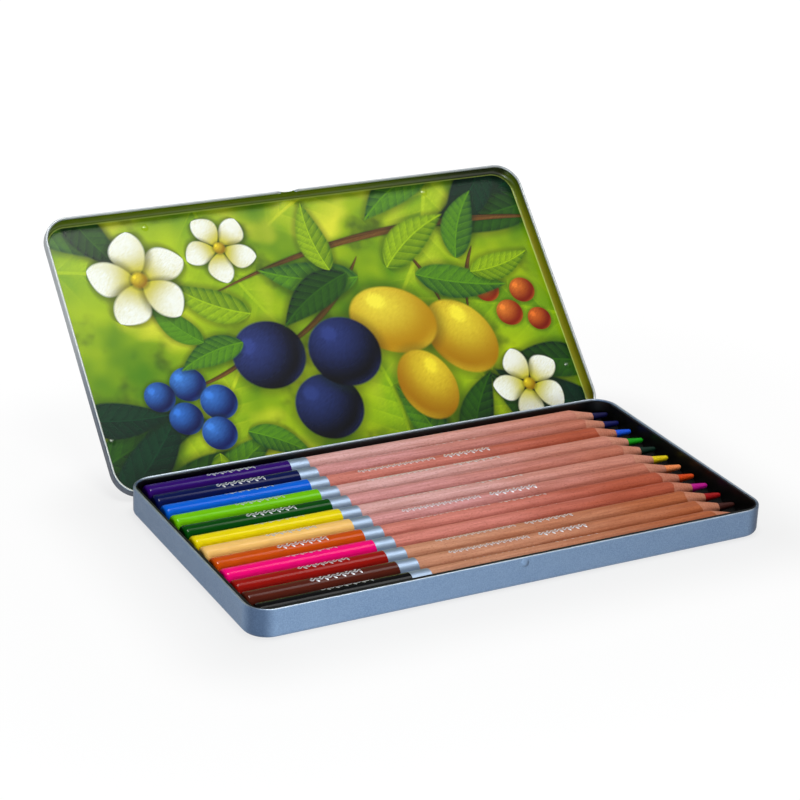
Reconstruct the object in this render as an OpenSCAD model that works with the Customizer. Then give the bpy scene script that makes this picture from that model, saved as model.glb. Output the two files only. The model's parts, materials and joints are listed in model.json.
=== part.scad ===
// Hinged metal tin for colored pencils, open, with its pencils lying in a black tray.
// Millimetres. X runs along the pencils with their points towards +X, -Y is the front,
// +Y the hinge side, and Z = 0 is the flat underside of the base.

/* [Pencils] */
// Length of a pencil from butt to point
pencil_len = 175; // [150:1:190]
// Diameter of a pencil over its lacquer
pencil_d = 7.7; // [7:0.1:9]
// Space between neighbouring pencils
pencil_gap = 0.23; // [0.15:0.01:0.6]
// Diameter of the colored core
core_d = 3; // [2:0.1:4.5]
// Length of bare core in front of the wood
core_bare = 6.5; // [3:0.1:9]
// Diameter of the core at its blunt point
core_tip_d = 1.7; // [0.8:0.1:1.9]
// Length of the worn end of the point
core_blunt = 0.5; // [0.2:0.1:0.8]
// Diameter of the flat left at the very end of the point
core_end_d = 1.2; // [0.4:0.1:1.6]
// Length of the cone cut into the wood
cone_len = 8.7; // [5:0.1:14]
// Thickness of wood left round the core at the end of the cone
cone_lip = 0.12; // [0.05:0.01:0.3]
// Length of the lacquer dip at the butt
dip_len = 50.5; // [10:0.1:70]
// Thickness of the lacquer dip
dip_t = 0.1; // [0.06:0.01:0.2]
// Rounding of the dipped butt
butt_r = 1.2; // [0.5:0.1:2]
// Width of the silver foil band
band_w = 6.7; // [3:0.1:12]
// Thickness of the foil band
band_t = 0.06; // [0.03:0.01:0.1]

/* [Base] */
// Thickness of the tinplate
sheet_t = 0.3; // [0.2:0.01:0.35]
// Corner radius of the base seen from above
corner_r = 8; // [6:0.5:16]
// Radius of the drawn edge round the underside
edge_r = 1.8; // [1.2:0.1:2.2]
// Outer radius of the curled rims
curl_r = 0.45; // [0.4:0.01:0.5]
// Space between the outer pencils' butts and the tray's rounded corners
corner_gap = 0.11; // [0.08:0.01:0.4]
// Free width in the tray beside the outer pencils
side_room = 1.085; // [0.8:0.005:3]
// Height of the base's rim above the top of the pencils
head_room = 0.61; // [0.4:0.01:3]
// Diameter of the snap dimple in the front wall
snap_d = 3.2; // [2:0.1:3.4]
// Height of the snap dimple
snap_h = 0.4; // [0.2:0.05:0.45]
// Depth of the dimple's middle below the rim
snap_drop = 1.9; // [1.9:0.1:2.5]

/* [Tray] */
// Thickness of the formed plastic sheet
tray_t = 0.4; // [0.25:0.05:0.6]
// Space between the tray and the base round it
tray_clear = 0.25; // [0.15:0.05:0.4]
// Space between a pencil and its groove
groove_gap = 0.15; // [0.1:0.01:0.3]
// Height of the groove bottoms over the tray's own foot
groove_lift = 0.39; // [0.1:0.01:1]
// Height of the flat ridges above the groove bottoms
ridge_h = 2.05; // [1:0.05:2.6]
// Space between the tray's top edge and the base's rim
tray_drop = 0.35; // [0.2:0.05:1]

/* [Lid] */
// How far the lid stands open
lid_open = 135; // [0:1:135]
// Depth of the lid over its rim
lid_depth = 5; // [4.2:0.1:5.2]
// Radius of the drawn edge round the lid's top
lid_edge_r = 2.2; // [1.6:0.1:2.4]
// Space between the shut lid's panel and the base's rim
lid_top_gap = 0.15; // [0.1:0.01:0.3]
// Width of the thumb notch in the lid's front rim
notch_w = 8.4; // [6:0.1:14]
// Depth of the thumb notch
notch_h = 1.4; // [0.9:0.1:1.8]
// Diameter of the locating pips in the panel
pip_d = 2.6; // [1.5:0.1:4]
// Height of the locating pips
pip_h = 0.35; // [0.2:0.05:0.45]
// Distance of the front pips from the middle
pip_front_x = 54.5; // [30:0.5:70]
// Distance of the front pips from the lid's front edge
pip_front_in = 5.6; // [5:0.1:10]
// Distance of the side pips from the lid's ends
pip_side_in = 4.6; // [4.2:0.1:8]
// Distance of the side pips from the lid's hinge edge
pip_side_back = 21; // [12:0.5:40]

/* [Hinge] */
// Diameter of the hinge wire
wire_d = 1; // [0.8:0.05:1.1]
// Space round the wire in the lid's knuckles
wire_fit = 0.05; // [0.02:0.01:0.08]
// Space round the wire in the base's knuckles
wire_grip = 0.02; // [0.01:0.01:0.04]
// Space between the lid's knuckles and the base's wall
knuckle_gap = 0.25; // [0.2:0.01:0.4]
// Height of the hinge wire above the underside
hinge_h = 3.85; // [3.8:0.01:4.2]
// Distance of each hinge from the middle of the tin
hinge_x = 51; // [25:0.5:65]
// Width of the lid's knuckle
tongue_w = 12; // [6:0.5:24]
// Width of each of the base's knuckles
knuckle_w = 5; // [3:0.5:8]
// Space between neighbouring knuckles
knuckle_side = 0.3; // [0.2:0.05:0.6]
// Height of the window that each base knuckle is folded out of
window_h = 2.4; // [1:0.1:2.5]

/* [Hidden] */
$fn = 64;
tiny = 0.01;

// Pencils in their order from the hinge side to the front
HUES = ["violet", "navy", "blue", "lime", "green", "yellow",
        "peach", "orange", "pink", "red", "brown", "black"];
count = len(HUES);
DIPS = [[0.25, 0.04, 0.5], [0.04, 0.08, 0.35], [0.02, 0.4, 0.85], [0.45, 0.75, 0.02],
        [0.02, 0.33, 0.05], [0.9, 0.82, 0.02], [0.93, 0.72, 0.45], [0.82, 0.35, 0.03],
        [0.93, 0.03, 0.5], [0.62, 0.06, 0.04], [0.3, 0.1, 0.05], [0.05, 0.05, 0.06]];
CORES = [[0.12, 0.1, 0.35], [0.05, 0.08, 0.38], [0.08, 0.32, 0.85], [0.08, 0.62, 0.08],
         [0.02, 0.16, 0.1], [0.9, 0.8, 0.08], [0.95, 0.58, 0.36], [0.82, 0.28, 0.08],
         [0.72, 0.05, 0.52], [0.6, 0.03, 0.07], [0.25, 0.1, 0.08], [0.06, 0.06, 0.06]];
WOODS = [[0.84, 0.67, 0.59], [0.82, 0.55, 0.57], [0.86, 0.45, 0.38], [0.84, 0.63, 0.66],
         [0.77, 0.51, 0.49], [0.86, 0.63, 0.55], [0.8, 0.55, 0.51], [0.84, 0.44, 0.38],
         [0.75, 0.49, 0.38], [0.8, 0.55, 0.32], [0.8, 0.51, 0.41], [0.78, 0.43, 0.28]];
// How far each pencil has slid along its groove towards the points
SLIDES = [1, 0.6, 0.6, 0.4, 0.4, 0.2, 0.1, 0, -0.1, -0.3, -0.3, 0.2];

pencil_r = pencil_d / 2;
wood_r = pencil_r - dip_t;
core_r = core_d / 2;
glue = 0.01;
bore_r = core_r + glue;
core_start = pencil_len - core_bare;
cone_start = core_start - cone_len;
pitch = pencil_d + pencil_gap;
row_w = (count - 1) * pitch;

wall_room = tray_t + tray_clear + sheet_t;
// The tray is as long as lets the outer pencils' rounded butts clear its corners
tray_corner_r = corner_r - wall_room;
butt_y = tray_corner_r - side_room - butt_r;
butt_x = sqrt((tray_corner_r - butt_r - corner_gap) ^ 2 - butt_y ^ 2);
end_need = tray_corner_r - butt_r - butt_x - min(SLIDES[0], SLIDES[count - 1]);
end_step = 0.05;
end_room = end_step * ceil(end_need / end_step);
base_l = pencil_len + 2 * (end_room + wall_room);
base_w = row_w + pencil_d + 2 * (side_room + wall_room);
groove_r = pencil_r + groove_gap;
tray_z = sheet_t + tray_clear;
pencil_z = tray_z + groove_lift + tray_t + groove_r;
base_h = pencil_z + pencil_r + head_room;

knuckle_r = wire_d / 2 + wire_fit + sheet_t;
hinge_y = base_w / 2 + knuckle_gap + knuckle_r;
lid_over = hinge_y + sheet_t / 2 - base_w / 2;
lid_l = base_l + 2 * lid_over;
lid_w = base_w + 2 * lid_over;
lid_r = corner_r + lid_over;
lid_top = base_h + lid_top_gap + sheet_t;
lid_rim = lid_top - lid_depth;
wire_l = tongue_w + 2 * (knuckle_side + knuckle_w);

// ---- sheet metal ----

// Rounded rectangle
module plate(l, w, r) {
    square([l - 2 * r, w], center = true);
    square([l, w - 2 * r], center = true);
    for (x = [-1, 1], y = [-1, 1]) translate([x * (l / 2 - r), y * (w / 2 - r)]) circle(r);
}

// Carries a wall section round a rounded rectangle. The section's x = 0 is the outer face.
module round_wall(l, w, r) {
    side_l = l / 2 - r;
    side_w = w / 2 - r;
    for (turn = [0, 180]) rotate(turn) {
        translate([side_l, side_w, 0]) rotate_extrude(angle = 90) translate([r, 0]) children();
        translate([-side_l, side_w, 0]) rotate(90) rotate_extrude(angle = 90) translate([r, 0]) children();
        translate([l / 2, side_w, 0]) rotate([90, 0, 0]) linear_extrude(2 * side_w) children();
        translate([-side_l, w / 2, 0]) rotate([90, 0, 90]) linear_extrude(2 * side_l) children();
    }
}

// Section of a drawn wall: edge bend at the bottom, straight wall, rim curled inwards at the top
module wall_section(h, bend, t, curl) {
    intersection() {
        translate([-bend, bend]) difference() {
            circle(bend);
            circle(bend - t);
        }
        translate([-bend, 0]) square(bend);
    }
    translate([-t, bend]) square([t, h - bend - curl]);
    if (curl > 0) translate([-curl, h - curl]) difference() {
        circle(curl);
        circle(curl - t);
        translate([0, -curl]) square(curl);
    }
}

// Shallow drawn pan standing on its flat face, with a curled rim
module drawn_pan(l, w, h, r, bend) {
    linear_extrude(sheet_t) plate(l - 2 * bend, w - 2 * bend, r - bend);
    round_wall(l, w, r) wall_section(h, bend, sheet_t, curl_r);
}

// Ball whose cap of diameter d stands h proud of the plane z = 0, taken in by an inset
module cap_ball(d, h, inset = 0) {
    ball_r = (d * d / 4 + h * h) / (2 * h);
    translate([0, 0, h - ball_r]) sphere(ball_r - inset);
}

// The part of such a cap above the plane
module cap(d, h) {
    intersection() {
        cap_ball(d, h);
        translate([-d, -d, -tiny]) cube([2 * d, 2 * d, d]);
    }
}

// Knuckle of a given width round the hinge wire, before its bore
module knuckle(w) {
    rotate([0, 90, 0]) cylinder(h = w, r = knuckle_r, center = true);
}

module knuckle_bore(w, fit) {
    rotate([0, 90, 0]) cylinder(h = w + 2 * tiny, r = wire_d / 2 + fit, center = true);
}

// Places its children at the middle of each base knuckle
module at_base_knuckles() {
    reach = (tongue_w + knuckle_w) / 2 + knuckle_side;
    for (side = [-1, 1], end = [-1, 1]) translate([side * hinge_x + end * reach, 0, 0]) children();
}

module base_shell() color([0.47, 0.55, 0.66]) difference() {
    union() {
        drawn_pan(base_l, base_w, base_h, corner_r, edge_r);
        translate([0, -base_w / 2, base_h - snap_drop]) rotate([90, 0, 0]) cap(snap_d, snap_h);
        at_base_knuckles() {
            translate([0, hinge_y, hinge_h]) knuckle(knuckle_w);
            translate([-knuckle_w / 2, base_w / 2 - sheet_t, hinge_h + knuckle_r - sheet_t])
                cube([knuckle_w, hinge_y - base_w / 2 + sheet_t, sheet_t]);
        }
    }
    translate([0, -base_w / 2, base_h - snap_drop]) rotate([90, 0, 0]) cap_ball(snap_d, snap_h, sheet_t);
    at_base_knuckles() {
        translate([0, hinge_y, hinge_h]) knuckle_bore(knuckle_w, wire_grip);
        translate([-knuckle_w / 2, base_w / 2 - sheet_t - tiny, hinge_h + knuckle_r - sheet_t - window_h])
            cube([knuckle_w, sheet_t + 2 * tiny, window_h]);
    }
}

// Hinge wire of one side
module hinge_wire(side) color([0.75, 0.77, 0.8])
    translate([side * hinge_x, hinge_y, hinge_h]) rotate([0, 90, 0])
        cylinder(h = wire_l, r = wire_d / 2, center = true);

// Places its children at the four locating pips, on the inner face of the shut lid's panel
module at_pips() {
    for (side = [-1, 1]) {
        translate([side * pip_front_x, pip_front_in - lid_w / 2, lid_top]) children();
        translate([side * (lid_l / 2 - pip_side_in), lid_w / 2 - pip_side_back, lid_top]) children();
    }
}

// The lid as it lies when shut
module shut_lid() difference() {
    union() {
        translate([0, 0, lid_top]) mirror([0, 0, 1]) drawn_pan(lid_l, lid_w, lid_depth, lid_r, lid_edge_r);
        at_pips() translate([0, 0, -sheet_t]) mirror([0, 0, 1]) cap(pip_d, pip_h);
        for (side = [-1, 1]) {
            translate([side * hinge_x, hinge_y, hinge_h]) knuckle(tongue_w);
            translate([side * hinge_x - tongue_w / 2, hinge_y - sheet_t / 2, hinge_h])
                cube([tongue_w, sheet_t, lid_rim + curl_r - hinge_h]);
        }
    }
    at_pips() translate([0, 0, -sheet_t]) mirror([0, 0, 1]) cap_ball(pip_d, pip_h, sheet_t);
    for (side = [-1, 1]) translate([side * hinge_x, hinge_y, hinge_h]) knuckle_bore(tongue_w, wire_fit);
    notch_r = (notch_w * notch_w / 4 + notch_h * notch_h) / (2 * notch_h);
    translate([0, -lid_w / 2 - tiny, lid_rim + notch_h - notch_r]) rotate([-90, 0, 0])
        cylinder(h = 2 * (curl_r + tiny), r = notch_r);
}

module lid_shell() color([0.62, 0.7, 0.1])
    translate([0, hinge_y, hinge_h]) rotate([-lid_open, 0, 0]) translate([0, -hinge_y, -hinge_h]) shut_lid();

// ---- tray ----

// Turns an outline in Y and Z into a bar of length l along X, centred
module along_x(l) {
    translate([-l / 2, 0, 0]) rotate([90, 0, 90]) linear_extrude(l) children();
}

// Circles of radius r on the pencils' axes
module pencil_circles(r) {
    for (i = [0 : count - 1]) translate([row_w / 2 - i * pitch, pencil_z]) circle(r);
}

module inner_tray() {
    inset = sheet_t + tray_clear;
    l = base_l - 2 * inset;
    w = base_w - 2 * inset;
    r = corner_r - inset;
    bend = edge_r - inset;
    foot_w = bend + tray_t;
    top = base_h - 2 * curl_r - tray_drop;
    groove_z = pencil_z - groove_r;
    ridge_z = groove_z + ridge_h;
    inner_l = l - 2 * tray_t;
    inner_w = w - 2 * tray_t;
    under_l = l - 2 * foot_w;
    under_w = w - 2 * foot_w;
    color([0.05, 0.05, 0.06]) difference() {
        union() {
            translate([0, 0, tray_z]) round_wall(l, w, r) {
                translate([-bend, bend]) intersection() {
                    circle(bend);
                    translate([0, -bend]) square(bend);
                }
                translate([-bend, bend]) square([bend, top - tray_z - bend]);
            }
            translate([0, 0, tray_z]) linear_extrude(top - tray_z)
                plate(l - 2 * bend, w - 2 * bend, r - bend);
        }
        translate([0, 0, ridge_z]) linear_extrude(base_h) plate(inner_l, inner_w, r - tray_t);
        intersection() {
            along_x(inner_l) pencil_circles(groove_r);
            linear_extrude(base_h) plate(inner_l, inner_w, r - tray_t);
        }
        intersection() {
            along_x(under_l) difference() {
                translate([-under_w / 2, 0]) square([under_w, ridge_z - tray_t]);
                pencil_circles(groove_r + tray_t);
            }
            linear_extrude(base_h) plate(under_l, under_w, r - foot_w);
        }
    }
}

// ---- pencils ----

// Puts a pencil that is modelled along +Z from its butt into groove i
module in_groove(i) {
    translate([SLIDES[i] - pencil_len / 2, row_w / 2 - i * pitch, pencil_z]) rotate([0, 90, 0]) children();
}

// The sharp corner of a half section of radius r that starts at z0, outside a rounding e
module corner_off(r, z0, e) {
    difference() {
        translate([r - e, z0]) square(e);
        translate([r - e, z0 + e]) circle(e);
    }
}

// Half section of a round bar from z0 to z1, with its lower edge rounded by e
module bar_section(r, z0, z1, e) {
    difference() {
        translate([0, z0]) square([r, z1 - z0]);
        corner_off(r, z0, e);
    }
}

module pencil_wood(i) color(WOODS[i]) in_groove(i) rotate_extrude() difference() {
    polygon([[bore_r, dip_t], [wood_r, dip_t], [wood_r, cone_start],
             [core_r + cone_lip, core_start], [bore_r, core_start]]);
    corner_off(wood_r, dip_t, butt_r - dip_t);
}

module pencil_core(i) color(CORES[i]) in_groove(i) rotate_extrude()
    polygon([[0, dip_t], [core_r, dip_t], [core_r, core_start], [core_tip_d / 2, pencil_len - core_blunt],
             [core_end_d / 2, pencil_len], [0, pencil_len]]);

module pencil_dip(i) color(DIPS[i]) in_groove(i) rotate_extrude() difference() {
    bar_section(pencil_r, 0, dip_len, butt_r);
    bar_section(wood_r + glue, dip_t - glue, dip_len + tiny, butt_r - dip_t + glue);
}

module pencil_band(i) color([0.78, 0.8, 0.82]) in_groove(i) rotate_extrude()
    translate([wood_r + glue, dip_len]) square([band_t, band_w]);

base_shell();
inner_tray();
lid_shell();
hinge_wire(-1);  // hinge_wire_left
hinge_wire(1);  // hinge_wire_right
for (i = [0 : count - 1]) {
    pencil_wood(i);
    pencil_core(i);
    pencil_dip(i);
    pencil_band(i);
}
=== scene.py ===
import bpy
import math
from mathutils import Matrix, Vector
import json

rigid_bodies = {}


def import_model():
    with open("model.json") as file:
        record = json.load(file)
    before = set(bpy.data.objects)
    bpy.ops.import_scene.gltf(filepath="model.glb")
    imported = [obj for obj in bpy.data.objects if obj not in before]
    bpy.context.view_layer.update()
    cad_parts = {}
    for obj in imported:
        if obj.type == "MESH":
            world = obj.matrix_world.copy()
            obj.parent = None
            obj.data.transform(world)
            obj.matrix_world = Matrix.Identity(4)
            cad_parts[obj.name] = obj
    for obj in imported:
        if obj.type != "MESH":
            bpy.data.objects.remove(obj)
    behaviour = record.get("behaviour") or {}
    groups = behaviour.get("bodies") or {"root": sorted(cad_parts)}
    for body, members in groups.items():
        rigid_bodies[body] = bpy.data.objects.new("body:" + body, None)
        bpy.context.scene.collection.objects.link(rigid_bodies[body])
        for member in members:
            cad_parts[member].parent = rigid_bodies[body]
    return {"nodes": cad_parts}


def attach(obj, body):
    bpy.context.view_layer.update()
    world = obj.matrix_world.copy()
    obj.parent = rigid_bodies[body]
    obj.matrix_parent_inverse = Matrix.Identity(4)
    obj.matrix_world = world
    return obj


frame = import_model()
bpy.ops.object.select_all(action="DESELECT")
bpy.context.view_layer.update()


# ---- Base of the tin ----
# A shallow pan drawn from tinplate, its rim curled inwards, with a snap dimple pressed out of
# the front wall. It is sprayed with a satin silver lacquer with a bluish cast, whose flake
# shows as fine mottling over a slight orange peel.
def new_material(name):
    material = bpy.data.materials.new(name)
    material.use_nodes = True
    tree = material.node_tree
    tree.nodes.clear()
    output = tree.nodes.new("ShaderNodeOutputMaterial")
    shader = tree.nodes.new("ShaderNodeBsdfPrincipled")
    tree.links.new(shader.outputs["BSDF"], output.inputs["Surface"])
    return material, tree, shader


def node(tree, kind, settings=(), **inputs):
    """Adds a node. An input goes by its name, or by i and its number, and is a value or a socket."""
    made = tree.nodes.new("ShaderNode" + kind)
    for key, value in dict(settings).items():
        setattr(made, key, value)
    for key, value in inputs.items():
        numbered = key[0] == "i" and key[1:].isdigit()
        socket = made.inputs[int(key[1:]) if numbered else key]
        if isinstance(value, bpy.types.NodeSocket):
            tree.links.new(value, socket)
        elif hasattr(socket.default_value, "__len__") and not hasattr(value, "__len__"):
            socket.default_value = [value] * len(socket.default_value)
        elif hasattr(value, "__len__") and len(socket.default_value) == 4 and len(value) == 3:
            socket.default_value = (*value, 1)
        else:
            socket.default_value = value
    return made


def math_of(tree, operation, a, b=0.0, c=0.0):
    return node(tree, "Math", dict(operation=operation), i0=a, i1=b, i2=c).outputs[0]


def plus(tree, a, b):
    return math_of(tree, "ADD", a, b)


def minus(tree, a, b):
    return math_of(tree, "SUBTRACT", a, b)


def times(tree, a, b):
    return math_of(tree, "MULTIPLY", a, b)


def larger(tree, a, b):
    return math_of(tree, "MAXIMUM", a, b)


def vector_of(tree, operation, a, b=(0, 0, 0)):
    made = node(tree, "VectorMath", dict(operation=operation), i0=a, i1=b)
    return made.outputs["Value" if operation in ("LENGTH", "DISTANCE", "DOT_PRODUCT") else "Vector"]


def soft_step(tree, value, low, high, to_low=0.0, to_high=1.0):
    """Goes smoothly from to_low to to_high while value goes from low to high."""
    made = node(tree, "MapRange", dict(interpolation_type="SMOOTHSTEP"), Value=value)
    ends = {"From Min": low, "From Max": high, "To Min": to_low, "To Max": to_high}
    for socket, number in ends.items():
        made.inputs[socket].default_value = number
    return made.outputs["Result"]


def mix_colour(tree, share, a, b, blend="MIX"):
    settings = dict(data_type="RGBA", blend_type=blend, clamp_factor=True)
    return node(tree, "Mix", settings, i0=share, i6=a, i7=b).outputs[2]


def tinted(tree, colour, tint):
    return mix_colour(tree, 1.0, colour, tint, "MULTIPLY")


def object_point(tree, loc=(0, 0, 0), turn=(0, 0, 0), scale=(0.001, 0.001, 0.001)):
    """Object coordinates in millimetres, seen from a frame that lies at loc and is turned."""
    where = node(tree, "TexCoord").outputs["Object"]
    made = node(tree, "Mapping", dict(vector_type="TEXTURE"), Vector=where)
    made.inputs["Location"].default_value = loc
    made.inputs["Rotation"].default_value = turn
    made.inputs["Scale"].default_value = scale
    return made.outputs["Vector"]


def split(tree, point):
    return node(tree, "SeparateXYZ", Vector=point).outputs[:3]


def noise(tree, point, scale, detail=2.0, roughness=0.5):
    made = node(tree, "TexNoise", Vector=point, Scale=scale, Detail=detail, Roughness=roughness)
    return made.outputs[0]


def bump(tree, height, distance, strength=1.0, normal=None):
    made = node(tree, "Bump", Height=height, Distance=distance, Strength=strength)
    if normal is not None:
        tree.links.new(normal, made.inputs["Normal"])
    return made.outputs["Normal"]


def rgb(r, g, b):
    """A colour as it is seen, 0 to 255, as linear light."""
    return tuple(c / 255 / 12.92 if c <= 10 else ((c / 255 + 0.055) / 1.055) ** 2.4 for c in (r, g, b))


def coat(tree, shader, **sources):
    """Feeds the shader's colour, metallic, roughness and normal, as far as they are given."""
    sockets = dict(colour="Base Color", metallic="Metallic", roughness="Roughness", normal="Normal")
    for finish, source in sources.items():
        tree.links.new(source, shader.inputs[sockets[finish]])


def give(piece, material):
    piece.data.materials.clear()
    piece.data.materials.append(material)


def silver_lacquer(tree, point, rubbed, bright):
    """Colour, metallic, roughness and normal of the lacquer, worn to bright metal where rubbed is 1."""
    flake = soft_step(tree, noise(tree, point, 2.4, 3, 0.65), 0.3, 0.7)
    cloud = soft_step(tree, noise(tree, point, 0.12, 2, 0.5), 0.3, 0.7)
    dark = mix_colour(tree, cloud, rgb(116, 139, 171), rgb(124, 146, 176))
    colour = mix_colour(tree, flake, dark, rgb(140, 163, 192))
    colour = mix_colour(tree, rubbed, colour, rgb(190, 202, 214))
    metallic = plus(tree, times(tree, rubbed, bright), 0.12)
    roughness = soft_step(tree, noise(tree, point, 0.9, 2), 0.3, 0.7, 0.38, 0.5)
    peel = bump(tree, noise(tree, point, 0.8, 2, 0.55), 0.00004, 0.35)
    return colour, metallic, roughness, peel


# Millimetres: the middle of a rounded corner, the heights between which the lacquer wears off
# the rim, and the middle and radius of the dimple
CORNER = (82.9, 41.5, 0)
WORN = (9.6, 9.74)
DIMPLE, DIMPLE_R = (0, -49.5, 7.9), 1.6

lacquer, tree, shader = new_material("tin_silver_lacquer")
point = object_point(tree)
x, y, z = split(tree, point)

# Worn to metal on top of the rim, and further down it at the back
height = plus(tree, z, soft_step(tree, y, 47.5, 48.5, 0, 0.6))
colour, metallic, roughness, peel = silver_lacquer(tree, point, soft_step(tree, height, *WORN), 0.8)
dimple = soft_step(tree, vector_of(tree, "DISTANCE", point, DIMPLE), 0.3, DIMPLE_R, 1, 0)
peel = bump(tree, dimple, 0.0006, 1.0, peel)

# Painted shade: the lacquer is darkened round the rounded corners, where they turn away from the light
past_x, past_y, _ = split(tree, vector_of(tree, "SUBTRACT", vector_of(tree, "ABSOLUTE", point), CORNER))
corner_shade = soft_step(tree, math_of(tree, "MINIMUM", past_x, past_y), 0.0, 4.5, 0, 0.9)
colour = mix_colour(tree, corner_shade, colour, tinted(tree, colour, (0.3, 0.34, 0.4)))
coat(tree, shader, colour=colour, metallic=metallic, roughness=roughness, normal=peel)
shader.inputs["Specular IOR Level"].default_value = 0.2
give(frame["nodes"]["base_shell"], lacquer)


# ---- Hinge wires ----
# Two short lengths of drawn steel wire on the rear edge, each through two knuckles of the base
# and one of the lid. The drawing die leaves fine lines along them.
steel, tree, shader = new_material("drawn_steel_wire")
point = object_point(tree, scale=(0.02, 0.001, 0.001))
lines = noise(tree, point, 8, 3, 0.6)
coat(tree, shader, colour=mix_colour(tree, lines, rgb(150, 153, 158), rgb(214, 216, 220)),
     roughness=soft_step(tree, lines, 0.3, 0.7, 0.22, 0.38), normal=bump(tree, lines, 0.00002, 0.4))
shader.inputs["Metallic"].default_value = 1.0
for name in ("hinge_wire_left", "hinge_wire_right"):
    give(frame["nodes"][name], steel)


# ---- Inner tray ----
# One sheet of black plastic, vacuum-formed into twelve grooves with flat ridges between them.
# Its surface is semi-gloss with the fine grain of the mould and a little pencil dust.
plastic, tree, shader = new_material("black_tray_sheet")
point = object_point(tree)
grain = noise(tree, point, 6, 2, 0.6)
dust = soft_step(tree, noise(tree, point, 0.25, 4, 0.65), 0.55, 0.8)
colour = mix_colour(tree, grain, rgb(5, 5, 5), rgb(10, 10, 9))
colour = mix_colour(tree, times(tree, dust, 0.14), colour, rgb(46, 40, 36))
coat(tree, shader, colour=colour, roughness=soft_step(tree, grain, 0.3, 0.7, 0.34, 0.46),
     normal=bump(tree, grain, 0.00002, 0.5))
shader.inputs["Specular IOR Level"].default_value = 0.35
give(frame["nodes"]["inner_tray"], plastic)

# The sheet's top edge is turned in all round, and shows as a thin dark line inside the rim.
# Metres: half length, half width and corner radius of its outer and inner edge, its height, its
# skirt, how much lower its back is than its front, half the way between them, and its thickness
LIP_OUTER, LIP_INNER = (0.08988, 0.04848, 0.00698), (0.08915, 0.04775, 0.0048)
LIP_Z = 0.00962
LIP_SKIRT = 0.0012
LIP_FALL, LIP_REACH = 0.0004, 0.0485
LIP_SHEET = 0.0002

for half_x, half_y, corner in (LIP_OUTER, LIP_INNER):
    bpy.ops.mesh.primitive_plane_add(size=2, location=(0, 0, LIP_Z))
    bpy.context.object.scale = (half_x, half_y, 1)
    bpy.ops.object.transform_apply(location=True, rotation=True, scale=True)
    bpy.ops.object.mode_set(mode="EDIT")
    bpy.ops.mesh.select_all(action="SELECT")
    bpy.ops.mesh.bevel(offset=corner, segments=12, affect="VERTICES")
    bpy.ops.mesh.select_all(action="SELECT")
    bpy.ops.mesh.delete(type="ONLY_FACE")
    bpy.ops.object.mode_set(mode="OBJECT")
    bpy.context.object.name = "tray_lip"
lip = bpy.context.object
for piece in bpy.data.objects:
    piece.select_set(piece.name.startswith("tray_lip"))
bpy.ops.object.join()
lip.name = "tray_lip"
bpy.ops.object.mode_set(mode="EDIT")
bpy.ops.mesh.select_all(action="SELECT")
bpy.ops.mesh.bridge_edge_loops()
bpy.ops.mesh.select_all(action="DESELECT")
bpy.ops.object.mode_set(mode="OBJECT")

# The outer edge is turned down into the skirt
for vertex in lip.data.vertices:
    past = (max(abs(vertex.co.x) - CORNER[0] / 1000, 0), max(abs(vertex.co.y) - CORNER[1] / 1000, 0))
    vertex.select = math.hypot(*past) > LIP_OUTER[2] - 0.00004
bpy.ops.object.mode_set(mode="EDIT")
bpy.ops.mesh.extrude_region_move(TRANSFORM_OT_translate=dict(value=(0, 0, -LIP_SKIRT)))
bpy.ops.object.mode_set(mode="OBJECT")
for vertex in lip.data.vertices:
    vertex.co.z -= LIP_FALL * (vertex.co.y + LIP_REACH) / (2 * LIP_REACH)
sheet = lip.modifiers.new("sheet", "SOLIDIFY")
sheet.thickness = LIP_SHEET
sheet.offset = 0
bpy.ops.object.modifier_apply(modifier="sheet")
bpy.ops.object.mode_set(mode="EDIT")
bpy.ops.mesh.select_all(action="SELECT")
bpy.ops.mesh.normals_make_consistent(inside=False)
bpy.ops.object.mode_set(mode="OBJECT")
bpy.ops.object.shade_smooth_by_angle(angle=math.radians(35))
bpy.ops.object.select_all(action="DESELECT")
give(lip, plastic)
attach(lip, "base")


# ---- Pencils ----
# Twelve round wood-cased pencils. Two grooved slats are glued round the core, turned round,
# varnished clear, sharpened to a cone, and dipped in gloss lacquer at the butt, which a band of
# silver foil finishes. A sprig of silver foil is stamped on the dip and along the wood.
# Millimetres: length, pitch, the first pencil's Y, the axes' height and the wood's radius
PENCIL_LEN = 175
PITCH = 7.93
ROW = 43.615
AXIS_Z = 5.34
WOOD_R = 3.75

# Millimetres: where a sprig starts and ends along the pencil, its period and its height
DIP_SPRIG = (21.5, 38.5, 2.9, 1.5)
WOOD_SPRIGS = (68.5, 97, 2.2, 1.1), (100.5, 118, 2.9, 1.5)

# The slats come in four tones: the colour by the foil band, and a warmer, darker one by the point, which
# is painted shade for the light falling off towards the point
PALE = (212, 166, 164), (200, 134, 116)
ROSE = (204, 144, 144), (186, 112, 90)
RUSSET = (202, 124, 112), (172, 82, 54)
TAN = (194, 138, 108), (172, 96, 56)
PENCILS = (
    # hue, how far it has slid to the right, slat, colour of the dip, colour of the core
    ("violet", 1, PALE, (44, 4, 102), (14, 14, 66)),
    ("navy", 0.6, ROSE, (2, 14, 70), (10, 16, 84)),
    ("blue", 0.6, RUSSET, (0, 92, 208), (18, 84, 220)),
    ("lime", 0.4, PALE, (108, 188, 0), (16, 156, 12)),
    ("green", 0.4, ROSE, (0, 66, 4), (2, 36, 24)),
    ("yellow", 0.2, PALE, (224, 204, 0), (226, 200, 10)),
    ("peach", 0.1, ROSE, (234, 186, 104), (246, 142, 84)),
    ("orange", 0, RUSSET, (190, 72, 2), (210, 68, 10)),
    ("pink", -0.1, RUSSET, (236, 0, 112), (184, 6, 134)),
    ("red", -0.3, TAN, (144, 14, 6), (158, 8, 12)),
    ("brown", -0.3, TAN, (78, 26, 14), (62, 24, 18)),
    ("black", 0.2, TAN, (4, 4, 5), (14, 14, 14)),
)


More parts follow.
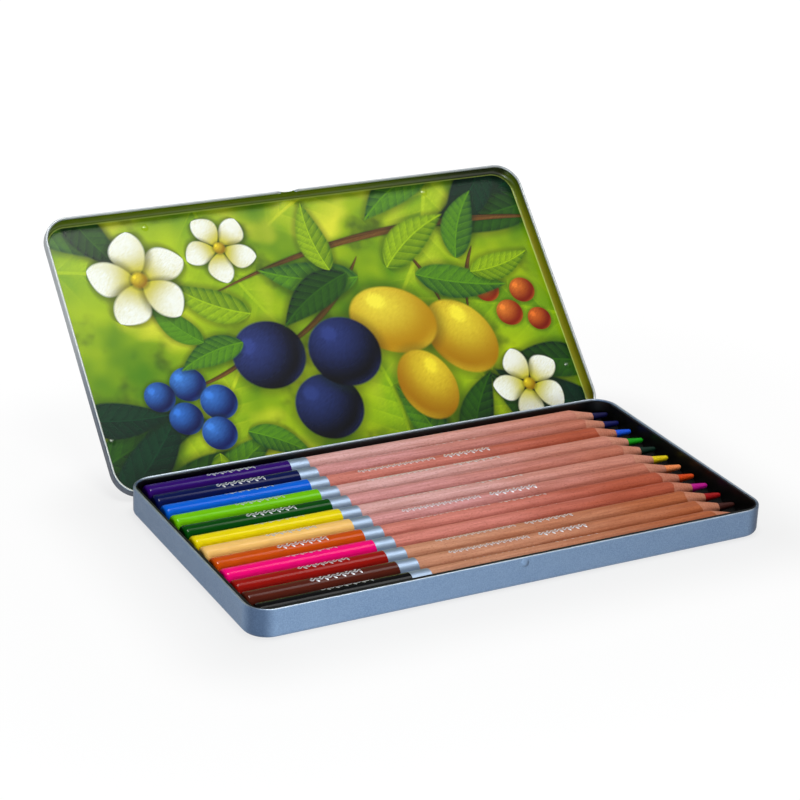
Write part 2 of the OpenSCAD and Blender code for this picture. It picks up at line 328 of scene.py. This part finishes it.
def pencil_point(tree, index, slide):
    """Millimetres from the pencil's butt along it, and from its axis."""
    butt = (slide - PENCIL_LEN / 2, ROW - index * PITCH, AXIS_Z)
    return object_point(tree, loc=tuple(c / 1000 for c in butt))


def stretched(tree, point, by):
    return vector_of(tree, "MULTIPLY", point, by)


def around_axis(tree, y, z):
    return math_of(tree, "ARCTAN2", times(tree, y, -1), z)


def foil_sprig(tree, parts, roll, start, end, period, height):
    """1 on a stamped sprig: a waved stem with leaves on both sides, from start to end along the wood."""
    x, y, z = parts
    up = times(tree, minus(tree, around_axis(tree, y, z), math.radians(roll)), WOOD_R / height)
    beat = math_of(tree, "FRACT", math_of(tree, "DIVIDE", minus(tree, x, start), period))
    wave = times(tree, math_of(tree, "SINE", times(tree, beat, math.tau)), 0.3)
    inked = soft_step(tree, math_of(tree, "ABSOLUTE", minus(tree, up, wave)), 0.14, 0.2, 1, 0)
    for at, side in ((0.3, -0.5), (0.8, 0.5)):
        off = minus(tree, up, side)
        across = minus(tree, minus(tree, beat, at), times(tree, off, 0.5 * side))
        across = math_of(tree, "DIVIDE", across, 0.15)
        along = math_of(tree, "DIVIDE", off, 0.42)
        size = plus(tree, times(tree, across, across), times(tree, along, along))
        inked = larger(tree, inked, soft_step(tree, size, 0.8, 1.05, 1, 0))
    begun = soft_step(tree, x, start, start + 0.05)
    return times(tree, inked, times(tree, begun, soft_step(tree, x, end, end + 0.05, 1, 0)))


def stamp(tree, shader, point, mark, colour, roughness):
    """Puts silver foil where mark is 1, worn thin in specks, over the colour and roughness below it."""
    mark = times(tree, mark, soft_step(tree, noise(tree, point, 2.5, 2, 0.6), 0.28, 0.4))
    to_foil = times(tree, minus(tree, 0.3, roughness), mark)
    coat(tree, shader, colour=mix_colour(tree, mark, colour, rgb(226, 229, 234)),
         metallic=times(tree, mark, 0.6), roughness=plus(tree, roughness, to_foil))


def shade_of(colour, factor, more=0):
    """The colour, 0 to 255, made darker or lighter, as linear light."""
    return rgb(*(min(c * factor + more, 255) for c in colour))


band_foil, tree, shader = new_material("stamped_foil_band")
point = object_point(tree, scale=(0.0002, 0.004, 0.004))
lines = noise(tree, point, 3, 3, 0.6)
coat(tree, shader, colour=mix_colour(tree, lines, rgb(130, 150, 174), rgb(168, 186, 208)),
     roughness=soft_step(tree, lines, 0.3, 0.7, 0.4, 0.5), normal=bump(tree, lines, 0.00002, 0.4))
shader.inputs["Metallic"].default_value = 0.75

for index, (hue, slide, (by_band, shaded_by_point), dip_colour, core_colour) in enumerate(PENCILS):
    # Laid in by hand, each pencil is rolled a little differently, in degrees towards the front
    dip_roll = -8 + 14 * math.sin(2.1 * index)
    wood_roll = -18 + 24 * math.sin(1.7 * index + 4)

    # Wood: fine grain and short dark pores, with painted shade that makes it warmer and darker towards
    # the point
    wood, tree, shader = new_material(hue + "_pencil_wood")
    point = pencil_point(tree, index, slide)
    parts = split(tree, point)
    along = stretched(tree, vector_of(tree, "ADD", point, (0, 40.0 * index, 17.0 * index)), (0.06, 1, 1))
    streak = noise(tree, along, 1.3, 3, 0.55)
    fleck = noise(tree, stretched(tree, along, (8, 1, 1)), 2.6, 3, 0.7)
    pores = soft_step(tree, noise(tree, stretched(tree, along, (5, 1, 1)), 3.4, 1, 0.4), 0.58, 0.7)
    drift = noise(tree, stretched(tree, along, (0.5, 0.2, 0.2)), 1.0, 2, 0.5)
    reach = plus(tree, parts[0], times(tree, minus(tree, drift, 0.5), 60))
    base = mix_colour(tree, soft_step(tree, reach, 75, 160), rgb(*by_band), rgb(*shaded_by_point))
    light = tinted(tree, base, (1.09, 1.08, 1.07))
    dark = tinted(tree, base, (0.84, 0.74, 0.68))
    colour = mix_colour(tree, soft_step(tree, streak, 0.3, 0.7), dark, light)
    colour = mix_colour(tree, times(tree, soft_step(tree, fleck, 0.45, 0.7), 0.6), colour, dark)
    colour = mix_colour(tree, times(tree, pores, 0.4), colour, tinted(tree, base, (0.52, 0.36, 0.28)))

    # The cut face is paler, and the sharpener leaves its border with the varnish scalloped
    radius = vector_of(tree, "LENGTH", stretched(tree, point, (0, 1, 1)))
    around = around_axis(tree, parts[1], parts[2])
    scallop = math_of(tree, "SINE", plus(tree, times(tree, around, 3), 1.7 * index))
    border = plus(tree, radius, times(tree, plus(tree, scallop, 1), 0.13))
    cut = soft_step(tree, border, WOOD_R - 0.06, WOOD_R - 0.01, 1, 0)
    shaved = noise(tree, stretched(tree, point, (1.6, 0.7, 0.7)), 1.6, 3, 0.6)
    bare = mix_colour(tree, soft_step(tree, shaved, 0.3, 0.7), rgb(196, 128, 100), rgb(226, 168, 142))
    colour = mix_colour(tree, times(tree, cut, 0.5), colour, bare)
    small, large = (foil_sprig(tree, parts, wood_roll, *sprig) for sprig in WOOD_SPRIGS)
    rough = soft_step(tree, streak, 0.3, 0.7, 0.5, 0.64)
    stamp(tree, shader, point, larger(tree, small, large), colour, rough)
    coat(tree, shader, normal=bump(tree, plus(tree, fleck, times(tree, pores, -0.7)), 0.00004, 0.4))
    shader.inputs["Specular IOR Level"].default_value = 0.25
    give(frame["nodes"][hue + "_wood"], wood)

    # Core: waxy pigment, dragged by the sharpener
    core, tree, shader = new_material(hue + "_pencil_core")
    wax = noise(tree, stretched(tree, pencil_point(tree, index, slide), (0.7, 1, 1)), 2.4, 3, 0.6)
    pale = soft_step(tree, wax, 0.35, 0.65)
    colour = mix_colour(tree, pale, shade_of(core_colour, 0.9), shade_of(core_colour, 1.04, 4))
    coat(tree, shader, colour=colour, roughness=soft_step(tree, wax, 0.3, 0.7, 0.38, 0.6),
         normal=bump(tree, wax, 0.00003, 0.4))
    shader.inputs["Specular IOR Level"].default_value = 0.3
    give(frame["nodes"][hue + "_core"], core)

    # Dip: thick gloss lacquer with a faint flow, and the sprig near its middle
    dip, tree, shader = new_material(hue + "_pencil_dip")
    point = pencil_point(tree, index, slide)
    flow = noise(tree, stretched(tree, point, (0.35, 1, 1)), 0.7, 2, 0.5)
    colour = mix_colour(tree, flow, shade_of(dip_colour, 0.94), shade_of(dip_colour, 1.05, 2))
    rough = soft_step(tree, noise(tree, point, 1.3, 2), 0.3, 0.7, 0.11, 0.17)
    mark = foil_sprig(tree, split(tree, point), dip_roll, *DIP_SPRIG)
    stamp(tree, shader, point, mark, colour, rough)
    coat(tree, shader, normal=bump(tree, flow, 0.00005, 0.3))
    shader.inputs["Specular IOR Level"].default_value = 0.2
    give(frame["nodes"][hue + "_dip"], dip)
    give(frame["nodes"][hue + "_band"], band_foil)


# ---- Lid ----
# A second pan, a little larger, on the hinge wires. Outside it has the base's silver lacquer.
# Inside it is printed in gloss before it is drawn, so the print runs up its walls as far as the
# curled rim, which shows silver. Four small pips are pressed in from outside.
# Millimetres: the hinge's axis, how far out from a corner's middle and how high the bend between
# panel and wall has its own middle, its radius, and how high the curl's top is. Heights are above
# the hinge's axis.
LID_HINGE = (0, 50.6, 3.85)
LID_OPEN = 135
BEND_OUT, BEND_Z, BEND_R = 7.05, 4.2, 2.05
CURL_TOP = 2.27

lid, tree, shader = new_material("lid_lacquer_and_print")
point = object_point(tree)

# The lid's own frame, as when it is shut: X along it, Y from its middle towards the hinge, and Z
# up from the hinge's axis
flat = object_point(tree, loc=tuple(c / 1000 for c in LID_HINGE), turn=(math.radians(-LID_OPEN), 0, 0))
x, y, z = split(tree, flat)
y = plus(tree, y, LID_HINGE[1])
beside, behind = math_of(tree, "ABSOLUTE", x), math_of(tree, "ABSOLUTE", y)
out_x = larger(tree, minus(tree, beside, CORNER[0]), 0)
out_y = larger(tree, minus(tree, behind, CORNER[1]), 0)
out = vector_of(tree, "LENGTH", node(tree, "CombineXYZ", X=out_x, Y=out_y).outputs[0])

# The print lies on the inside of the sheet, above the curl
bent_out = minus(tree, out, BEND_OUT)
side = larger(tree, bent_out, 0)
top = larger(tree, minus(tree, z, BEND_Z), 0)
depth = vector_of(tree, "LENGTH", node(tree, "CombineXYZ", X=side, Y=top).outputs[0])
inside = math_of(tree, "LESS_THAN", depth, BEND_R)
above_curl = math_of(tree, "GREATER_THAN", z, CURL_TOP)
face = vector_of(tree, "DOT_PRODUCT", node(tree, "TexCoord").outputs["Normal"], (0, 0.7071, -0.7071))
printed = times(tree, times(tree, inside, above_curl), math_of(tree, "LESS_THAN", face, 0.35))

# The rim is worn to metal, with painted shade that dulls it towards the front edge and the far end.
# The outer wall's lacquer has a painted reflection that makes it pale towards the notch, and
# painted shade at the ends of the hinge side.
rim = times(tree, soft_step(tree, z, 1.9, 2.25, 1, 0), soft_step(tree, out, 8.9, 9.1, 1, 0))
silver, metallic, silver_rough, peel = silver_lacquer(tree, point, rim, 0.4)
bead_shade = larger(tree, soft_step(tree, y, -30, -46), soft_step(tree, x, 70, 88, 0, 0.7))
bead = mix_colour(tree, bead_shade, rgb(214, 218, 212), rgb(180, 186, 188))
skirt = mix_colour(tree, soft_step(tree, y, 30, -10), silver, rgb(222, 226, 226))
hinge_end_shade = times(tree, soft_step(tree, y, -15, 38), soft_step(tree, beside, 76, 86))
skirt = mix_colour(tree, hinge_end_shade, skirt, rgb(74, 80, 92))
silver = mix_colour(tree, rim, silver, bead)
silver = mix_colour(tree, soft_step(tree, out, 8.95, 9.15, 0, 0.9), silver, skirt)

# The printed picture: fruit, berries and blossom among leaves, in colored-pencil strokes.
# U runs along the lid from its middle and V from the middle towards the front edge.
art = node(tree, "CombineXYZ", X=x, Y=times(tree, y, -1)).outputs[0]


def shape_group(name):
    """An empty group that takes a shape's own point and two numbers, and its inner sockets."""
    group = bpy.data.node_groups.new(name, "ShaderNodeTree")
    group.interface.new_socket("Point", in_out="INPUT", socket_type="NodeSocketVector")
    for number in ("Bend", "Soft"):
        group.interface.new_socket(number, in_out="INPUT", socket_type="NodeSocketFloat")
    for output in ("Mask", "Halo", "Shade"):
        group.interface.new_socket(output, in_out="OUTPUT", socket_type="NodeSocketFloat")
    return group, group.nodes.new("NodeGroupInput").outputs, group.nodes.new("NodeGroupOutput").inputs


def clamped(tree, value):
    return math_of(tree, "MINIMUM", larger(tree, value, 0), 1)


def pointed_outline(tree, given, made, widest, fullness, shadow):
    """Mask and halo of a shape from its stem end at the origin, 1 long, and 1 wide each side of a
    midrib that may bend. Returns the places along and across it, and how far in from its edge."""
    s, t, _ = split(tree, given["Point"])
    s = clamped(tree, s)
    arch = times(tree, times(tree, s, minus(tree, 1, s)), 4)
    t = minus(tree, t, times(tree, arch, given["Bend"]))
    width = math_of(tree, "SINE", times(tree, math_of(tree, "POWER", s, widest), math.pi))
    width = math_of(tree, "POWER", larger(tree, width, 0), fullness)
    edge = minus(tree, width, math_of(tree, "ABSOLUTE", t))
    ends = times(tree, math_of(tree, "GREATER_THAN", s, 0), math_of(tree, "LESS_THAN", s, 1))
    inked = clamped(tree, math_of(tree, "DIVIDE", edge, given["Soft"]))
    tree.links.new(times(tree, inked, ends), made["Mask"])
    tree.links.new(times(tree, soft_step(tree, edge, -shadow, 0.05), ends), made["Halo"])
    return s, t, edge


# Leaf: a lit and a dark side, with puffed fields between its veins
leaf, given, made = shape_group("printed_leaf")
s, t, edge = pointed_outline(leaf, given, made, 0.72, 0.85, 0.4)
half = math_of(leaf, "ABSOLUTE", t)
beat = math_of(leaf, "FRACT", minus(leaf, times(leaf, s, 9), times(leaf, half, 1.6)))
vein = times(leaf, soft_step(leaf, beat, 0.0, 0.16, 1, 0), 0.4)
puff = times(leaf, soft_step(leaf, beat, 0.1, 0.9), 0.22)
light = plus(leaf, soft_step(leaf, t, -0.12, 0.12, 0, 0.3), soft_step(leaf, edge, 0.0, 0.4, 0, 0.28))
shade = plus(leaf, light, larger(leaf, vein, puff))
leaf.links.new(larger(leaf, shade, soft_step(leaf, half, 0.02, 0.08, 1, 0)), made["Shade"])

# Petal: no veins, from a tinted throat to a pale tip
petal, given, made = shape_group("printed_petal")
s, t, _ = pointed_outline(petal, given, made, 1.15, 0.6, 0.5)
pale = times(petal, soft_step(petal, s, 0.08, 0.7), soft_step(petal, t, -1.0, 0.1, 0.68, 1.0))
petal.links.new(pale, made["Shade"])

# Fruit: a disc of radius 1, shaded as a ball that is lit from the upper left
fruit, given, made = shape_group("printed_fruit")
spot = stretched(fruit, given["Point"], (1, 1, 0))
far = vector_of(fruit, "LENGTH", spot)
inked = clamped(fruit, math_of(fruit, "DIVIDE", minus(fruit, 1, far), given["Soft"]))
fruit.links.new(inked, made["Mask"])
fruit.links.new(soft_step(fruit, far, 0.95, 1.3, 1, 0), made["Halo"])
lit = soft_step(fruit, vector_of(fruit, "DISTANCE", spot, (-0.35, 0.4, 0)), 0.0, 1.3, 0.72, 0.0)
glint = soft_step(fruit, vector_of(fruit, "DISTANCE", spot, (-0.42, 0.46, 0)), 0.08, 0.3, 0.5, 0.0)
under = soft_step(fruit, vector_of(fruit, "DISTANCE", spot, (0.6, -0.6, 0)), 0.2, 0.9, 1, 0)
bounce = times(fruit, soft_step(fruit, far, 0.7, 1.0, 0, 0.25), under)
fruit.links.new(plus(fruit, plus(fruit, lit, glint), bounce), made["Shade"])

DEEP, POOL, MOSS, GRASS = (5, 30, 22), (14, 60, 34), (46, 96, 14), (96, 156, 18)
LIME, BARK, TWIG = (164, 200, 16), (52, 30, 10), (128, 86, 34)
THROAT, IVORY = (206, 196, 52), (250, 252, 242)
HEART = (150, 108, 0), (250, 226, 40)
SHADOW = (14, 34, 8)

# Rows of shapes: u, v, turn, length, half width, bend, dark and light colour.
# Broad leaves out of focus behind
HAZE = (
    (-100, 34, -18, 78, 15, 0.3, (104, 156, 6), (176, 204, 22)),
    (-36, 58, -70, 62, 15, -0.3, (88, 144, 8), (168, 200, 20)),
    (58, 60, -118, 66, 17, 0.3, (92, 150, 10), (186, 210, 30)),
    (104, -14, 166, 84, 16, -0.2, (70, 128, 10), (150, 190, 16)),
    (-64, -60, 58, 70, 15, 0.2, (110, 160, 8), (196, 214, 30)),
    (16, -58, 96, 54, 15, -0.3, (80, 136, 12), (160, 196, 18)),
    (-10, 40, 20, 60, 14, 0.3, (120, 170, 10), (206, 216, 40)),
    (74, -56, 120, 58, 14, 0.3, (96, 150, 6), (182, 206, 22)),
)
# Leaves that reach in from the edges
LEAVES = (
    (-96, -40, 16, 46, 8.5, 0.3, DEEP, MOSS), (-92, -52, 46, 46, 8, -0.3, DEEP, POOL),
    (-78, -56, 20, 44, 8, 0.2, DEEP, MOSS), (-98, -20, -6, 34, 7, -0.2, DEEP, POOL),
    (-60, -56, 34, 36, 6.5, 0.2, POOL, GRASS), (96, 50, -158, 48, 9, 0.3, DEEP, POOL),
    (98, 36, -168, 40, 8, -0.2, DEEP, MOSS), (84, 58, -132, 42, 8, 0.2, DEEP, POOL),
    (60, 56, -150, 38, 7.5, -0.3, POOL, GRASS), (96, -48, 150, 44, 8.5, 0.3, DEEP, POOL),
    (98, -30, 172, 36, 7.5, -0.2, DEEP, MOSS), (80, -58, 128, 40, 7.5, 0.2, DEEP, MOSS),
    (-98, 52, -28, 40, 7.5, 0.3, POOL, GRASS), (-82, 58, -60, 32, 7, -0.2, DEEP, MOSS),
    (40, -56, 60, 34, 7, 0.3, DEEP, MOSS), (30, -58, 110, 34, 7, -0.3, POOL, GRASS),
)
TWIGS = (
    (98, 30, 186, 142, 1.5, -6.0, BARK, TWIG), (20, 24, 214, 62, 1.1, 5.0, BARK, TWIG),
    (-26, -4, 200, 36, 0.8, 3.0, BARK, TWIG), (66, 22, 250, 30, 0.8, -2.5, BARK, TWIG),
    (40, 22, 285, 26, 0.8, 2.0, BARK, TWIG),
)
# Fruit has half its length, and no bend
FRUIT = (
    (50, -12, -58, 16, 12.5, (172, 120, 0), (255, 238, 60)),
    (26, -2, -20, 17, 13, (184, 134, 0), (255, 240, 70)),
    (-8, -30, 0, 13, 12.5, (2, 3, 7), (44, 60, 124)),
    (-24, -8, 15, 14, 13, (3, 4, 9), (50, 66, 136)),
    (4, -11, -15, 14, 13.5, (2, 3, 7), (46, 62, 130)),
    (31, -28, -75, 14, 11, (166, 112, 0), (252, 230, 52)),
    (-56, -14, 0, 6.6, 6.4, (3, 18, 84), (70, 140, 232)),
    (-47, -22, 0, 6.8, 6.6, (3, 16, 78), (62, 130, 226)),
    (-60, -26, 0, 6.2, 6, (2, 14, 70), (56, 124, 222)),
    (-50, -33, 0, 6.4, 6.2, (3, 18, 84), (66, 134, 228)),
    (-67, -17, 0, 5.6, 5.6, (2, 14, 70), (60, 126, 222)),
    (72, -6, 0, 5.4, 5.2, (132, 26, 2), (250, 140, 50)),
    (80, 2, 0, 5.2, 5, (126, 24, 2), (246, 132, 46)),
    (66, 4, 0, 5, 4.8, (140, 34, 2), (250, 150, 54)),
    (83, -10, 0, 4.8, 4.6, (120, 20, 2), (240, 120, 40)),
)
# Leaves in front of the fruit
FRONT = (
    (18, 16, 168, 38, 7.5, 0.3, POOL, GRASS), (14, 18, 210, 34, 7, -0.3, DEEP, MOSS),
    (30, 18, 32, 34, 7, 0.3, MOSS, LIME), (40, 14, -14, 36, 7, -0.2, POOL, GRASS),
    (-26, 8, 150, 30, 6.5, 0.3, MOSS, LIME), (-32, -2, 196, 26, 5.5, -0.3, POOL, GRASS),
    (8, 20, 96, 28, 6, 0.3, MOSS, LIME), (58, 18, 60, 30, 6.5, 0.3, POOL, GRASS),
    (62, 12, 12, 26, 5.5, -0.3, MOSS, LIME), (-46, 0, 130, 24, 5, 0.3, MOSS, GRASS),
    (-52, -40, 250, 20, 4.5, 0.3, MOSS, LIME), (-40, -34, -30, 24, 5, 0.2, POOL, GRASS),
)
# Blossoms of five petals: u, v, a petal's length, the first petal's turn, bend, radius of the heart
BLOSSOMS = ((-62, 26, 17, 18, 0.25, 3.4), (-30, 34, 12, 50, -0.25, 2.5), (70, -34, 13, 30, 0.25, 2.7))


def print_shape(tree, below, group, u, v, angle, length, width, bend, dark, light, soft=0.12, halo=0.45):
    """Prints one leaf or fruit over the colour below it, with a soft shadow round it.

    The shape's point takes in a trace of that colour, so that the shapes are worked out in turn,
    because a shader can't hold them all at once."""
    trace = (1e-9, 1e-9, 1e-9)
    in_turn = node(tree, "VectorMath", dict(operation="MULTIPLY_ADD"), i0=below, i1=trace, i2=art)
    own = node(tree, "Mapping", dict(vector_type="TEXTURE"), Vector=in_turn.outputs[0])
    own.inputs["Location"].default_value = (u, v, 0)
    own.inputs["Rotation"].default_value = (0, 0, math.radians(angle))
    own.inputs["Scale"].default_value = (length, width, 1)
    shape = node(tree, "Group", dict(node_tree=group), Point=own.outputs[0], Bend=bend, Soft=soft).outputs
    if halo:
        below = mix_colour(tree, times(tree, shape["Halo"], halo), below, rgb(*SHADOW))
    inked = mix_colour(tree, times(tree, shape["Shade"], stroke), rgb(*dark), rgb(*light))
    return mix_colour(tree, shape["Mask"], below, inked)


def elsewhere(tree, point, by):
    return vector_of(tree, "ADD", point, by)


strokes = node(tree, "Mapping", dict(vector_type="TEXTURE"), Vector=art)
strokes.inputs["Rotation"].default_value = (0, 0, math.radians(38))
strokes.inputs["Scale"].default_value = (3.2, 0.42, 1)
stroke = soft_step(tree, noise(tree, strokes.outputs[0], 1.4, 3, 0.6), 0.25, 0.75, 0.68, 1.25)
cloud = soft_step(tree, noise(tree, art, 0.022, 3, 0.55), 0.34, 0.66)
picture = mix_colour(tree, cloud, rgb(78, 132, 6), rgb(176, 202, 12))
glow = soft_step(tree, noise(tree, elsewhere(tree, art, (400, 90, 7)), 0.035, 2, 0.5), 0.52, 0.7)
picture = mix_colour(tree, glow, picture, rgb(222, 224, 52))
murk = noise(tree, elsewhere(tree, art, (70, 260, 3)), 0.05, 3, 0.6)
picture = mix_colour(tree, soft_step(tree, murk, 0.55, 0.72, 0, 0.8), picture, rgb(56, 78, 16))
for row in HAZE:
    picture = print_shape(tree, picture, leaf, *row, soft=0.7, halo=0)
for row in LEAVES + TWIGS:
    picture = print_shape(tree, picture, leaf, *row)
for *place, dark, light in FRUIT:
    picture = print_shape(tree, picture, fruit, *place, 0, dark, light, soft=0.06)
for row in FRONT:
    picture = print_shape(tree, picture, leaf, *row)
for u, v, size, first, bend, heart in BLOSSOMS:
    for angle in range(first, first + 360, 72):
        root_u = u + 1.5 * math.cos(math.radians(angle))
        root_v = v + 1.5 * math.sin(math.radians(angle))
        row = (root_u, root_v, angle, size, size * 0.4, bend, THROAT, IVORY)
        picture = print_shape(tree, picture, petal, *row, halo=0.6)
for u, v, size, first, bend, heart in BLOSSOMS:
    picture = print_shape(tree, picture, fruit, u, v, 0, heart, heart, 0, *HEART, soft=0.3)
tooth = soft_step(tree, noise(tree, art, 3.2, 2, 0.7), 0.3, 0.7, 0.86, 1.1)
picture = tinted(tree, picture, node(tree, "CombineXYZ", X=tooth, Y=tooth, Z=tooth).outputs[0])

# The wall is olive, golden on the sides and greener along the front, and darker at the outer part of the
# front towards the far end. A painted highlight runs where it bends up from the panel.
wall = mix_colour(tree, soft_step(tree, y, -20, -48), rgb(132, 128, 6), rgb(92, 112, 8))
far_end = times(tree, soft_step(tree, x, 20, 84), soft_step(tree, y, -47, -49))
wall = mix_colour(tree, far_end, wall, rgb(40, 50, 14))
ground = mix_colour(tree, soft_step(tree, bent_out, 0.45, 0.75), picture, wall)
bend_highlight = times(tree, soft_step(tree, bent_out, 0.1, 0.35), soft_step(tree, bent_out, 0.45, 0.7, 0.75, 0))
ground = mix_colour(tree, bend_highlight, ground, rgb(190, 206, 92))
gloss = times(tree, minus(tree, 0.24, silver_rough), printed)
coat(tree, shader, colour=mix_colour(tree, printed, silver, ground), normal=peel,
     metallic=times(tree, minus(tree, 1, printed), metallic), roughness=plus(tree, silver_rough, gloss))
give(frame["nodes"]["lid_shell"], lid)


# ---- Floor, lights and camera ----
# A plain white floor under a white surround, which is dim overhead. Three soft lamps stand in
# front, overhead and to the right.
FLOOR = 60
TIN_HALF = (0.09, 0.049, 0)

bpy.ops.mesh.primitive_plane_add(size=FLOOR, location=(0, 0, 0))
floor = bpy.context.object
floor.name = "floor"
bpy.ops.object.transform_apply(location=True, rotation=True, scale=True)


def white_to(tree, path, *kinds):
    """1 for the kinds of ray that see plain white."""
    seen = path.outputs[kinds[0]]
    for kind in kinds[1:]:
        seen = larger(tree, seen, path.outputs[kind])
    return seen


# The floor is seen white, and keeps the tin's shadow, which fades away from it
paper, tree, shader = new_material("white_floor")
shader.inputs["Base Color"].default_value = (0.42, 0.42, 0.42, 1)
shader.inputs["Roughness"].default_value = 0.9
seen = white_to(tree, node(tree, "LightPath"), "Is Camera Ray", "Is Glossy Ray", "Is Transmission Ray")
where = vector_of(tree, "ABSOLUTE", node(tree, "TexCoord").outputs["Object"])
away = vector_of(tree, "MAXIMUM", vector_of(tree, "SUBTRACT", where, TIN_HALF), (0, 0, 0))
away = vector_of(tree, "LENGTH", away)
share = plus(tree, soft_step(tree, away, 0, 0.04, 0.72, 0.88), soft_step(tree, away, 0.03, 0.25, 0, 0.12))
glow = node(tree, "Emission", Color=(1, 1, 1, 1), Strength=1.06)
mixed = node(tree, "MixShader", i0=times(tree, seen, share), i1=shader.outputs[0], i2=glow.outputs[0])
tree.links.new(mixed.outputs[0], tree.nodes["Material Output"].inputs["Surface"])
give(floor, paper)

# The surround is seen white by the camera, and low down by gloss and glass
world = bpy.data.worlds.new("pale_surround")
bpy.context.scene.world = world
world.use_nodes = True
tree = world.node_tree
background = tree.nodes["Background"]
background.inputs["Color"].default_value = (0.97, 0.98, 1, 1)
path = node(tree, "LightPath")
height = split(tree, node(tree, "TexCoord").outputs["Generated"])[2]
mirrored = white_to(tree, path, "Is Glossy Ray", "Is Transmission Ray")
mirrored = times(tree, mirrored, soft_step(tree, height, 0.05, 0.3, 1, 0))
seen = larger(tree, path.outputs["Is Camera Ray"], mirrored)
tree.links.new(math_of(tree, "MULTIPLY_ADD", seen, 0.88, 0.16), background.inputs["Strength"])


def lamp(name, place, target, size, watts, tint):
    light = bpy.data.lights.new(name, "AREA")
    light.color = tint
    light.shape = "SQUARE"
    light.size = size
    light.energy = watts
    holder = bpy.data.objects.new(name, light)
    holder.location = place
    holder.rotation_euler = (Vector(target) - Vector(place)).to_track_quat("-Z", "Y").to_euler()
    bpy.context.collection.objects.link(holder)


lamp("front_lamp", (-0.2, -0.36, 0.09), (-0.03, -0.05, 0.005), 0.12, 0.95, (0.8, 0.92, 1))
lamp("top_lamp", (0, -0.03, 0.92), (0, 0.02, 0.02), 0.3, 5.4, (1, 0.99, 0.97))
lamp("side_lamp", (0.42, 0.08, 0.86), (0, 0, 0), 0.33, 1.2, (1, 1, 1))

# Where the photograph was taken from: heading, downward tilt and roll in degrees, the place in
# the turned frame in metres, and the lens in millimetres
HEADING, TILT, ROLL = -28.6485, 22.9776, 2.4446
EYE = (-0.014825, 0.039051, 0.76773)
LENS = 106.944

turn = Matrix.Rotation(math.radians(HEADING), 4, "Z") @ Matrix.Rotation(math.radians(90 - TILT), 4, "X")
turn = turn @ Matrix.Rotation(math.radians(ROLL), 4, "Z")
lens = bpy.data.cameras.new("camera")
lens.sensor_width = 36
lens.lens = LENS
lens.clip_start = 0.01
camera = bpy.data.objects.new("camera", lens)
camera.matrix_world = Matrix.Translation(turn @ Vector(EYE)) @ turn
bpy.context.collection.objects.link(camera)
bpy.context.scene.camera = camera

bpy.context.scene.view_settings.view_transform = "Standard"
